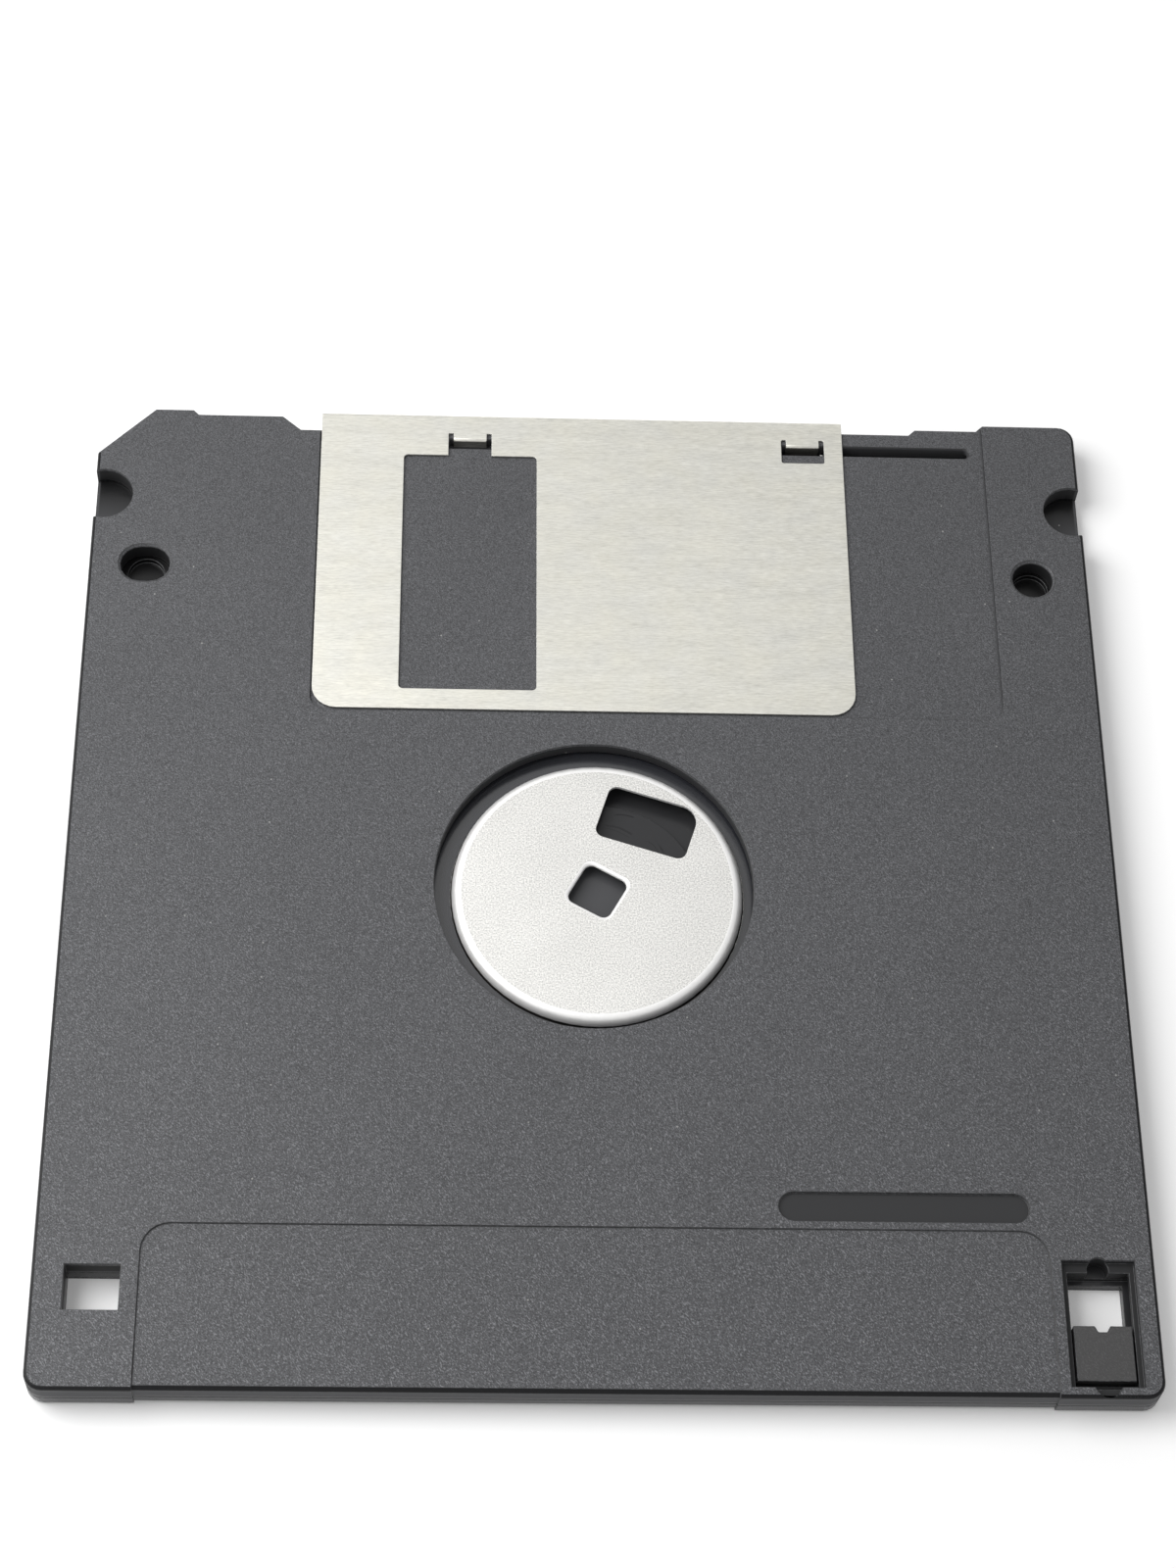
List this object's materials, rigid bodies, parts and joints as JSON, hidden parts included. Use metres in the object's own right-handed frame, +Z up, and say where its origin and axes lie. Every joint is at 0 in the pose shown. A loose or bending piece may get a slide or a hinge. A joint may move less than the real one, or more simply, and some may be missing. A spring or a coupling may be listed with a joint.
{
  "type": "floppy disk",
  "caption": "Flat square disk cartridge: two moulded shells round a thin magnetic disc with a stamped metal hub, a sliding sheet-metal shutter with its spring, and a write-protect slider.",
  "frame": {"origin": "under the middle of the case, on the surface that the disk lies on", "axes": "+X to the right and +Y towards the shutter's edge, seen with the hub upwards; +Z up, from the label side to the hub side"},
  "size_m": [0.09, 0.094, 0.0033],
  "materials": {
    "case_plastic": "dark grey with a fine spark-eroded grain",
    "shutter_metal": "satin, with fine streaks along the sliding direction",
    "stamped_steel": "bead-blasted satin with a bright rolled rim",
    "magnetic_film": "smooth, dark brown-black and glossy",
    "adhesive_film": "thin double-sided film",
    "liner_fabric": "white nonwoven with bonded spots",
    "clear_film": "smooth milky film",
    "spring_steel": "drawn wire",
    "tab_plastic": "smooth dark moulding"
  },
  "bodies": {
    "case": {"hub_side_shell": "case_plastic", "label_side_shell": "case_plastic", "hub_side_liner": "liner_fabric", "label_side_liner": "liner_fabric", "lifter_leaf": "clear_film", "shutter_spring": "spring_steel"},
    "disc": {"magnetic_disc": "magnetic_film", "hub": "stamped_steel", "hub_adhesive_ring": "adhesive_film"},
    "shutter": {"shutter": "shutter_metal"},
    "tab": {"write_protect_tab": "tab_plastic"}
  },
  "joints": [
    {"name": "disc_spin", "type": "hinge", "parent": "case", "child": "disc", "pos_m": [0.0003, -0.00215, 0.0015], "axis": [0, 0, 1], "continuous": true},
    {"name": "shutter_slide", "type": "slide", "parent": "case", "child": "shutter", "axis": [1, 0, 0], "range_m": [0, 0.0125], "stiffness_N_per_m": 40, "springref_m": -0.008, "deforming": ["shutter_spring"]},
    {"name": "tab_slide", "type": "slide", "parent": "case", "child": "tab", "axis": [0, 1, 0], "range_m": [0, 0.0044]}
  ]
}
